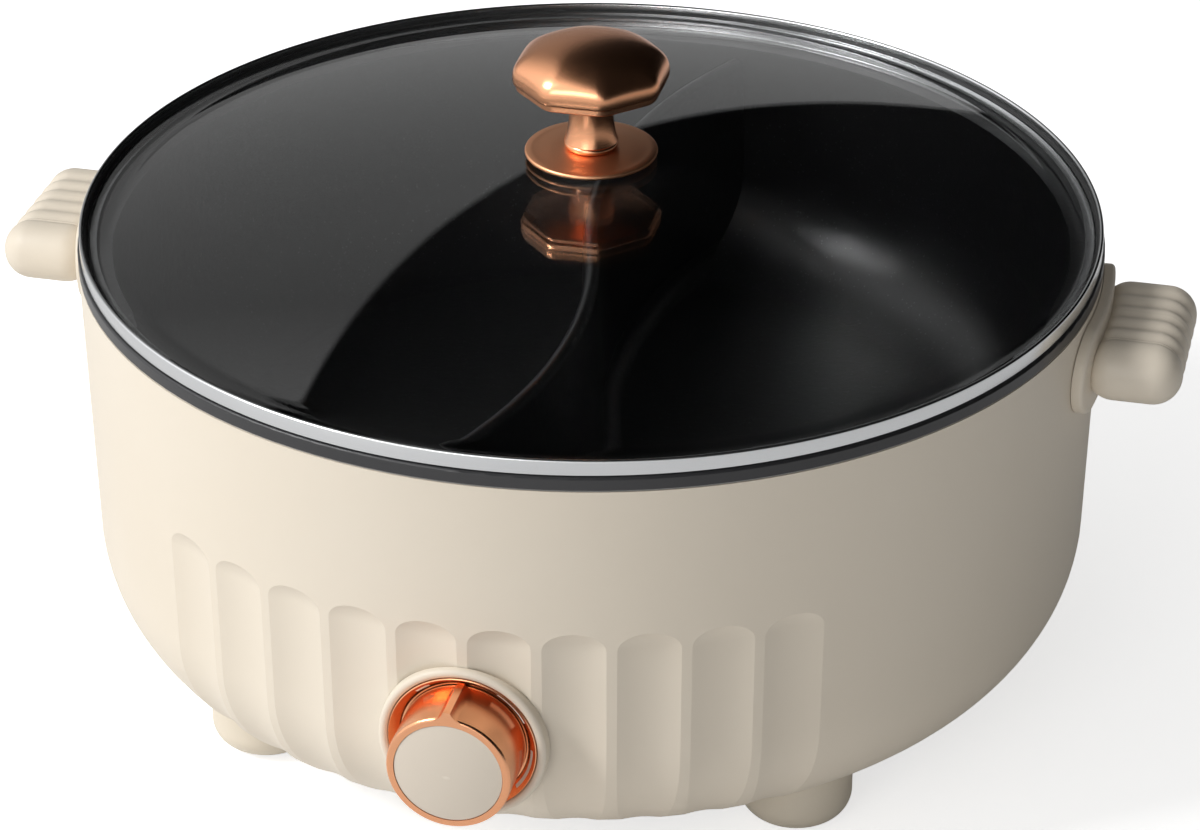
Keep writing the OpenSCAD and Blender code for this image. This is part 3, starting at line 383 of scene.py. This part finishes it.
# %% The glass
glass_low, glass_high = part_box("lid_glass")
lid_sides = 288
glass_t, bend, foot_r, hole_r = 3.5, 14.0, 150.0, 4.5
edge_r, edge_half = glass_high.x * 1000, glass_t / 2
top, flat_top = glass_high.z * 1000, glass_low.z * 1000 + glass_t
dome_r = (foot_r ** 2 + (top - flat_top) ** 2) / (2 * (top - flat_top))
dome_c = top - dome_r
bend_z = flat_top + bend
bend_x = math.sqrt((dome_r + bend) ** 2 - (bend_z - dome_c) ** 2)
lean = math.degrees(math.asin(bend_x / (dome_r + bend)))
hole = math.degrees(math.asin(hole_r / dome_r))
glass = turned("glass_dome", millimetres(
    arc_points((0, dome_c), dome_r, 90 - hole, 90 - lean, 60)
    + arc_points((bend_x, bend_z), bend, 270 - lean, 270, 8)[1:]
    + arc_points((edge_r - edge_half, flat_top - edge_half), edge_half, 90, -90, 10)
    + arc_points((bend_x, bend_z), bend + glass_t, 270, 270 - lean, 8)
    + arc_points((0, dome_c), dome_r - glass_t, 90 - lean, 90 - hole, 60)[1:]),
    "glass_clear", "lid", sides=lid_sides)
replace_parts(glass, "lid_glass")

# %% [markdown]
# ## Lid rim
# The rim is rolled from one strip of steel: an outer band with a rounded lip, a shelf that
# the glass lies on, and a leg that centres the lid in the pot. The black bead is the silicone
# that bonds the glass in; its face sinks a little between the two, as a wiped joint does.

# %% Band, shelf and leg
rim_low, rim_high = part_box("lid_rim")
band_out, band_in, band_top = rim_high.x * 1000, rim_high.x * 1000 - 1.3, rim_high.z * 1000
band_z, shelf_z, leg_z = 151.7, 150.2, rim_low.z * 1000
step_out, step_in, leg_out, leg_in = 157.9, 157.2, 154.5, 153.8
sheet, lip, corner, chamfer = 0.6, 0.65, 0.25, 0.2
rim = turned("rim_band", millimetres(
    [(band_in, band_z + sheet)]
    + arc_points((band_in + lip, band_top - lip), lip, 180, 0, 10)
    + arc_points((band_out - corner, band_z + corner), corner, 0, -90, 4)
    + [(step_out, band_z), (step_out, shelf_z), (leg_out, shelf_z), (leg_out, leg_z + chamfer),
       (leg_out - chamfer, leg_z), (leg_in + chamfer, leg_z), (leg_in, leg_z + chamfer),
       (leg_in, shelf_z + sheet), (step_in, shelf_z + sheet), (step_in, band_z + sheet)]),
    "rim_steel", "lid", sides=lid_sides)
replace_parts(rim, "lid_rim")

# %% The bead
bead_low, bead_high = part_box("lid_bond")
bead_z, bead_top = bead_low.z * 1000, bead_high.z * 1000
gap, wiped_down = 0.05, 0.1
bead = turned("bond_bead", millimetres(
    [(edge_r + gap, bead_z), (edge_r + gap, bead_top - wiped_down)]
    + arc_points((edge_r + 0.5, bead_top + 0.35), 0.62, 220, 320, 6)
    + [(band_in - gap, bead_top - wiped_down), (band_in - gap, bead_z)]),
    "silicone_black", "lid", sides=lid_sides)
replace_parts(bead, "lid_bond")

# %% [markdown]
# ## Knob
# The knob is a die-cast octagon that melts into a dome. It could be cut from a cone by a
# sphere, as in the CAD, but then every facet would end in a hard scallop. Here an eight-sided
# disc gets rounded corners by a vertex bevel, and is extruded upwards ring by ring. Each
# ring is pulled a little further towards a circle, so that the facets fade before the top.
# The rings are listed as half width, height and share of roundness.

# %% The octagonal head
knob_low, knob_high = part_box("lid_knob")
print("room for the knob, in mm:", round(knob_low.z * 1000, 1), "to", round(knob_high.z * 1000, 1))
wide, height = 22.6, 197.8
head_rings = (
    (23.5, 198.0, 0), (23.9, 198.4, 0), (24.0, 199.9, 0), (24.5, 200.1, 0), (24.8, 200.4, 0),
    (24.9, 200.8, 0), (25.0, 202.0, 0), (24.9, 203.6, 0.02), (24.6, 204.8, 0.05),
    (24.0, 206.0, 0.10), (23.0, 207.2, 0.17), (21.6, 208.4, 0.25), (19.8, 209.5, 0.34),
    (17.4, 210.6, 0.44), (14.4, 211.5, 0.55), (11.0, 212.2, 0.66), (7.4, 212.68, 0.78),
    (3.8, 212.93, 0.9), (0.8, 213.0, 1.0))
bpy.ops.object.select_all(action="DESELECT")
bpy.ops.mesh.primitive_circle_add(vertices=8, radius=wide / 1000, fill_type="NGON",
                                  location=(0, 0, height / 1000),
                                  rotation=(0, 0, math.radians(22.5)))
head = bpy.context.object
head.name = "knob_head"
bpy.ops.object.transform_apply(location=True, rotation=True, scale=True)
bpy.ops.object.mode_set(mode="EDIT")
bpy.ops.mesh.select_all(action="SELECT")
bpy.ops.mesh.bevel(offset=0.0024, offset_type="OFFSET", affect="VERTICES", segments=6)
bpy.ops.mesh.select_all(action="SELECT")
bpy.ops.mesh.subdivide(number_cuts=5, ngon=True, quadcorner="INNERVERT")
bpy.ops.mesh.select_all(action="SELECT")
for next_wide, next_height, roundness in head_rings:
    rise, grow = (next_height - height) / 1000, next_wide / wide
    bpy.ops.mesh.extrude_region_move(TRANSFORM_OT_translate={"value": (0, 0, rise)})
    bpy.ops.transform.resize(value=(grow, grow, 1), center_override=(0, 0, 0))
    if roundness:
        bpy.ops.transform.tosphere(value=roundness, center_override=(0, 0, next_height / 1000))
    wide, height = next_wide, next_height
shut(head, "rose_gold", "lid", smooth=32)

# %% The waisted stem
foot_z, flare, waist_r, bore_r = 177.4, 8.4, 6.9, 2.3
foot_round, stem_top = 1.3, 198.2
waist_low, waist_high = foot_z + 2 * foot_round, 197.5
waist_mid, waist_half = (waist_low + waist_high) / 2, (waist_high - waist_low) / 2
hollow = (waist_half ** 2 + (flare - waist_r) ** 2) / (2 * (flare - waist_r))
half_turn = math.degrees(math.asin(waist_half / hollow))
stem = turned("knob_stem", millimetres(
    [(bore_r, foot_z), (flare - foot_round, foot_z)]
    + arc_points((flare - foot_round, foot_z + foot_round), foot_round, -90, 90, 8)[1:]
    + arc_points((waist_r + hollow, waist_mid), hollow, 180 + half_turn, 180 - half_turn, 16)
    + [(flare, stem_top), (bore_r, stem_top)]),
    "rose_gold", "lid", sides=96)
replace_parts(head, "lid_knob")
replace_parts(stem, "lid_knob")

# %% [markdown]
# The disc under the stem is the same metal with a duller skin. Its colour is painted a little
# lighter than the knob's, as painted light: its slot stays rose_gold, and only its look differs.
# Its top falls away a little towards a rounded rim, which catches the light as a bright line.

# %% The disc under the stem
disc_low, disc_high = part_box("knob_base")
disc_r, disc_z, disc_top = disc_high.x * 1000, disc_low.z * 1000, disc_high.z * 1000
disc_rim = 0.8
disc = turned("knob_disc", millimetres(
    [(bore_r, disc_z), (disc_r - 0.7, disc_z)]
    + arc_points((disc_r - disc_rim, disc_z + 0.75), disc_rim, -60, 70, 8)
    + [(disc_r - 2.5, disc_top - 0.50), (disc_r - 5.0, disc_top - 0.30),
       (disc_r - 8.0, disc_top - 0.10), (9.5, disc_top), (bore_r, disc_top)]),
    "rose_gold", "lid", sides=192, smooth=50)
# The disc takes the rougher copy, whose lighter colour is painted light.
disc.data.materials[0] = rose_satin_painted_light
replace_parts(disc, "knob_base")

# %% [markdown]
# ## Grips
# Each grip is a moulded block with ball corners, and soft waves run over its top and down its
# outer end, so that its outline is scalloped. The block starts as a cube whose outer edges
# are bevelled by 9 mm. It is then cut into thin slices, and every slice is squeezed a little
# towards its inner lower edge: most in a valley, not at all on a ridge. A displacement
# texture could make the waves too, but it would also swell the sides and the underside.

# %% The ribbed block
def valley_depth(y, pitch=7.5, deepest=0.85, narrowing=1.2):
    """How far the skin lies below the ridges, at y from the grip's middle, in millimetres."""
    away = abs(y)
    from_ridge = abs(away % pitch - pitch / 2) if away <= 2 * pitch else 2.5 * pitch - away
    share = max(0.0, from_ridge / (pitch / 2))
    return deepest * (0.5 - 0.5 * math.cos(math.pi * share)) ** narrowing


def pick(piece, wanted, kind="verts"):
    """Selects the vertices, edges or faces of the mesh in edit mode that the test wants."""
    mesh = bmesh.from_edit_mesh(piece.data)
    bpy.ops.mesh.select_all(action="DESELECT")
    chosen = [part for part in getattr(mesh, kind) if wanted(part)]
    for part in chosen:
        part.select = True
    mesh.select_flush(True)
    bmesh.update_edit_mesh(piece.data)
    return len(chosen)


grip_low, grip_high = Vector((0.1590, -0.0285, 0.1208)), Vector((0.1885, 0.0285, 0.1395))
grip_long, grip_tall = 29.5, 18.7
corner_round, slice_gap = 0.009, 0.00046875
bpy.ops.object.select_all(action="DESELECT")
bpy.ops.mesh.primitive_cube_add(size=1, location=(grip_low + grip_high) / 2,
                                scale=grip_high - grip_low)
grip_right = bpy.context.object
grip_right.name = "grip_right"
bpy.ops.object.transform_apply(location=True, rotation=True, scale=True)
bpy.ops.object.mode_set(mode="EDIT")
bpy.ops.mesh.select_mode(type="EDGE")
outer = pick(grip_right, lambda e: max(v.co.x for v in e.verts) > 0.18, "edges")
bpy.ops.mesh.bevel(offset=corner_round, segments=12, affect="EDGES", clamp_overlap=False)
bpy.ops.mesh.select_mode(type="VERT")
for step in range(-40, 41):
    bpy.ops.mesh.select_all(action="SELECT")
    bpy.ops.mesh.bisect(plane_co=(0, step * slice_gap, 0), plane_no=(0, 1, 0))
slices = sorted({round(v.co.y, 6) for v in bmesh.from_edit_mesh(grip_right.data).verts})
for y in slices:
    depth = valley_depth(y * 1000)
    if depth > 0.001 and pick(grip_right, lambda v: abs(v.co.y - y) < 0.000002):
        bpy.ops.transform.resize(value=(1 - depth / grip_long, 1, 1 - depth / grip_tall),
                                 center_override=grip_low)
print("outer edges", outer, "slices", len(slices))
shut(grip_right, "grip_cream", "cooker", smooth=60)

# %% [markdown]
# The flange behind the grip hugs the round shell. It is easiest to draw flat: a plane with
# round corners, cut into strips, pushed out to 3.6 mm with a rounded rim. A Simple Deform
# modifier then bends the strips round the shell's axis, which lies one radius behind it.

# %% The flange
def flange_plate(name, shell_r=0.15987, middle_z=0.1300, draft=1.1, wide=0.0665, high=0.0285,
                 round_r=0.0138, thick=0.0036, rim_r=0.0014, strip_w=0.0015):
    bpy.ops.object.select_all(action="DESELECT")
    bpy.ops.mesh.primitive_plane_add(size=1, rotation=(math.radians(90), 0, 0))
    plate = bpy.context.object
    plate.name = name
    plate.scale = (wide, high, 1)
    bpy.ops.object.transform_apply(location=True, rotation=True, scale=True)
    bpy.ops.object.mode_set(mode="EDIT")
    bpy.ops.mesh.select_all(action="SELECT")
    bpy.ops.mesh.bevel(offset=round_r, segments=20, affect="VERTICES", clamp_overlap=False)
    for strip in range(-23, 24):
        bpy.ops.mesh.select_all(action="SELECT")
        bpy.ops.mesh.bisect(plane_co=(strip * strip_w, 0, 0), plane_no=(1, 0, 0))
    bpy.ops.mesh.select_all(action="SELECT")
    bpy.ops.mesh.extrude_region_move(TRANSFORM_OT_translate={"value": (0, rim_r - thick, 0)})
    turned_by = 0.0
    for turn in (22.5, 45.0, 67.5, 90.0):
        before, after = math.radians(turned_by), math.radians(turn)
        inwards = rim_r * (math.cos(before) - math.cos(after))
        outwards = rim_r * (math.sin(before) - math.sin(after))
        bpy.ops.mesh.inset(thickness=inwards, depth=0)
        bpy.ops.transform.translate(value=(0, outwards, 0))
        turned_by = turn
    bpy.ops.object.mode_set(mode="OBJECT")
    hug = plate.modifiers.new("hug", "SIMPLE_DEFORM")
    hug.deform_method, hug.deform_axis, hug.angle = "BEND", "Z", wide / shell_r
    bpy.ops.object.modifier_apply(modifier="hug")
    plate.location = (shell_r, 0, middle_z)
    plate.rotation_euler = (math.radians(draft), 0, math.radians(90))
    bpy.ops.object.transform_apply(location=True, rotation=True, scale=True)
    bpy.ops.object.mode_set(mode="EDIT")
    return shut(plate, "grip_cream", "cooker", smooth=50)


flange_right = flange_plate("flange_right")
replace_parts(grip_right, "handle_right")
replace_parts(flange_right, "handle_right")
print("flange reaches", [round(v, 4) for v in flange_right.bound_box[6]])

# %% [markdown]
# The other grip is the same moulding turned about. A mirrored copy gets its own mesh, and its
# faces are turned outwards again, because a mirror turns them in.

# %% The left grip
for right, name in ((grip_right, "grip_left"), (flange_right, "flange_left")):
    bpy.ops.object.select_all(action="DESELECT")
    right.select_set(True)
    bpy.context.view_layer.objects.active = right
    bpy.ops.object.duplicate()
    left = bpy.context.object
    left.name = name
    left.scale.x = -1
    bpy.ops.object.transform_apply(location=True, rotation=True, scale=True)
    bpy.ops.object.mode_set(mode="EDIT")
    bpy.ops.mesh.select_all(action="SELECT")
    bpy.ops.mesh.normals_make_consistent(inside=False)
    bpy.ops.object.mode_set(mode="OBJECT")
    left["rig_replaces"] = []
    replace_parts(left, "handle_left")
    print(left.name, left.data.name, [round(v, 4) for v in left.bound_box[0]])

# %% [markdown]
# ## Printed marks round the dial
# The bezel carries three short pale arcs that say where the heat settings lie. They are ink,
# less than a tenth of a millimetre thick. They could be painted by a mask in the bezel's
# material, but as thin pieces of their own they keep a crisp edge and cost very little. A
# circle is extruded inwards along the dished face to a ring, two cuts through its centre leave
# one sector, and a solidify modifier gives the ink its thickness.

# %% One arc of ink
def dish_y(r, known_y=-0.157833, known_r=0.0192, slope=1.0526):
    """The bezel's dished face at a distance r from the dial's axis, in metres."""
    return known_y - (r - known_r) * slope


dial_axis = Vector((0, 0, 0.060))


def cut_through(point, normal):
    bpy.ops.mesh.select_all(action="SELECT")
    bpy.ops.mesh.bisect(plane_co=point, plane_no=normal, clear_outer=True)


def ink_arc(name, middle, span, outer=0.0210, inner=0.0202, thick=0.00008):
    bpy.ops.object.select_all(action="DESELECT")
    bpy.ops.mesh.primitive_circle_add(vertices=360, radius=outer,
                                      location=(0, dish_y(outer), dial_axis.z),
                                      rotation=(math.radians(90), 0, 0))
    arc = bpy.context.object
    arc.name = name
    bpy.ops.object.transform_apply(location=True, rotation=True, scale=True)
    bpy.ops.object.mode_set(mode="EDIT")
    bpy.ops.mesh.select_all(action="SELECT")
    sink, shrink = dish_y(inner) - dish_y(outer), inner / outer
    bpy.ops.mesh.extrude_edges_move(TRANSFORM_OT_translate={"value": (0, sink, 0)})
    bpy.ops.transform.resize(value=(shrink, 1, shrink), center_override=dial_axis)
    for side in (-1, 1):
        edge = math.radians(middle + side * span / 2)
        along = Vector((math.sin(edge), 0, math.cos(edge)))
        cut_through(dial_axis, side * Vector((along.z, 0, -along.x)))
    bpy.ops.mesh.select_all(action="SELECT")
    bpy.ops.mesh.normals_make_consistent(inside=False)
    bpy.ops.object.mode_set(mode="OBJECT")
    ink = arc.modifiers.new("ink", "SOLIDIFY")
    ink.thickness, ink.offset = thick, 0
    bpy.ops.object.modifier_apply(modifier="ink")
    arc.data.materials.append(print_pale)
    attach(arc, "cooker")
    return arc


# %% Three arcs, placed by their angle clockwise from the top
print_pale = finish_of("print_pale", (0.86, 0.80, 0.72), (0.82, 0.76, 0.68), 0.5, bump=0.05)
ink_marks = (("ink_arc_low", -35, 13), ("ink_arc_mid", 47, 33), ("ink_arc_high", 110, 40))
for label, middle, span in ink_marks:
    arc = ink_arc(label, middle, span)
    print(label, len(arc.data.polygons), "faces")

# %% [markdown]
# ## Stage, lamps and camera
# The pot stands on a flat, pale floor, and the world behind it is white to the camera, so the
# two run into each other. A floor that curves up could do that too, but it would stand in
# the way of the light. The floor glows a little for the camera, so that it is white and still
# keeps a shadow, and hardly at all in reflections. From below it is clear, so that the
# underside can be seen.

# %% Floor
bpy.ops.object.select_all(action="DESELECT")
bpy.ops.mesh.primitive_circle_add(vertices=64, radius=7.0, fill_type="NGON", location=(0, 0, 0))
floor = bpy.context.object
floor.name = "floor"
paper = bpy.data.materials.new("paper")
paper.use_nodes = True
tree = paper.node_tree
shader = tree.nodes["Principled BSDF"]
shader.inputs["Base Color"].default_value = (0.86, 0.86, 0.86, 1)
shader.inputs["Roughness"].default_value = 0.9
shader.inputs["Specular IOR Level"].default_value = 0.1
camera_glow, mirrored_glow = 0.66, 0.04
seen = put(tree, "ShaderNodeLightPath", (-900, 300))
mirrored = put(tree, "ShaderNodeMath", (-700, 200), operation="MAXIMUM")
dimmed = put(tree, "ShaderNodeMath", (-500, 200), operation="MULTIPLY")
dimmed.inputs[1].default_value = mirrored_glow
glow = put(tree, "ShaderNodeMath", (-300, 300), operation="MULTIPLY_ADD")
glow.inputs[1].default_value = camera_glow
wire(tree, (seen, "Is Glossy Ray", mirrored, 0), (seen, "Is Transmission Ray", mirrored, 1),
     (mirrored, "Value", dimmed, 0), (seen, "Is Camera Ray", glow, 0),
     (dimmed, "Value", glow, 2), (glow, "Value", shader, "Emission Strength"))
shader.inputs["Emission Color"].default_value = (1, 1, 1, 1)
under = put(tree, "ShaderNodeNewGeometry", (0, 300))
clear = put(tree, "ShaderNodeBsdfTransparent", (0, -500))
one_way = put(tree, "ShaderNodeMixShader", (350, 0))
wire(tree, (under, "Backfacing", one_way, "Fac"), (shader, "BSDF", one_way, 1),
     (clear, "BSDF", one_way, 2))
tree.links.new(one_way.outputs["Shader"], tree.nodes["Material Output"].inputs["Surface"])
floor.data.materials.append(paper)

# %% [markdown]
# The world is a studio in two parts: a bright wall and a dark one, parted by a slanting edge
# that depends on the direction only. The camera sees plain white. In the lid's glass the edge
# of the bright wall shows as the curved edge of a pale veil. The bright wall also fades
# towards the back in reflections, and it is dimmed where it only lights a dull surface.

# %% World
world = bpy.data.worlds.new("studio")
bpy.context.scene.world = world
world.use_nodes = True
tree = world.node_tree
sky = tree.nodes["Background"]
across_edge, edge_between, dark_wall = (1.332, 0.322, 1.0), (0.396, 0.404), 0.008
dull_share, dull_base = 0.5, 0.15
path = put(tree, "ShaderNodeLightPath", (-1100, 400))
where = put(tree, "ShaderNodeTexCoord", (-1300, 0))
tilt = put(tree, "ShaderNodeVectorMath", (-1100, 0), operation="DOT_PRODUCT")
tilt.inputs[1].default_value = across_edge
wall = map_range(tree, (-900, 0), edge_between, (1.0, dark_wall))
plain = put(tree, "ShaderNodeMath", (-700, -100), operation="MULTIPLY_ADD")
plain.inputs[1].default_value = dull_share
plain.inputs[2].default_value = dull_base
far = put(tree, "ShaderNodeSeparateXYZ", (-1100, -250))
fade = map_range(tree, (-900, -300), (0.15, 0.65), (1.25, 0.3))
faded = put(tree, "ShaderNodeMath", (-700, -300), operation="MULTIPLY")
mirror = put(tree, "ShaderNodeMath", (-900, 300), operation="MAXIMUM")
seen_in = put(tree, "ShaderNodeMix", (-500, 0), data_type="FLOAT")
level = put(tree, "ShaderNodeMix", (-300, 0), data_type="FLOAT", B=1.0)
wire(tree, (where, "Generated", tilt, 0), (tilt, "Value", wall, "Value"),
     (wall, "Result", plain, 0), (path, "Is Glossy Ray", mirror, 0),
     (path, "Is Transmission Ray", mirror, 1), (mirror, "Value", seen_in, "Factor"),
     (plain, "Value", seen_in, "A"), (where, "Generated", far, "Vector"),
     (far, "Y", fade, "Value"), (wall, "Result", faded, 0), (fade, "Result", faded, 1),
     (faded, "Value", seen_in, "B"), (path, "Is Camera Ray", level, "Factor"),
     (seen_in, "Result", level, "A"), (level, "Result", sky, "Strength"))
sky.inputs["Color"].default_value = (1, 1, 1, 1)

# %% [markdown]
# A soft lamp from the front left does most of the work, as a window would, and a weak panel
# in front lifts the shade a little; the right side is left to fall into it. The camera is
# long and looks down at 29 degrees, from a little to the right of the dial.

# %% Lamps
def softbox(name, place, target, width, height, watts):
    lamp = bpy.data.lights.new(name, "AREA")
    lamp.shape = "RECTANGLE"
    lamp.size, lamp.size_y, lamp.energy = width, height, watts
    holder = bpy.data.objects.new(name, lamp)
    bpy.context.scene.collection.objects.link(holder)
    holder.location = place
    holder.rotation_euler = (Vector(target) - Vector(place)).to_track_quat("-Z", "Y").to_euler()
    return holder


softbox("key_window", (-1.75, -1.05, 1.85), (0, 0, 0.1), 0.7, 0.7, 46)
softbox("front_panel", (-0.5, -2.2, 0.9), (0, 0, 0.08), 0.9, 0.7, 6.5)

# %% Camera
lens = bpy.data.cameras.new("camera")
lens.sensor_width, lens.lens = 36.0, 120.0
camera = bpy.data.objects.new("camera", lens)
bpy.context.scene.collection.objects.link(camera)
camera.location = (0.2637, -1.0901, 0.7124)
look_down, turned_left = 29.35, 13.6 - 0.139
camera.rotation_euler = (math.radians(90 - look_down), 0, math.radians(turned_left))
bpy.context.scene.camera = camera
bpy.context.scene.view_settings.view_transform = "Standard"
print("camera at", tuple(round(v, 3) for v in camera.location))
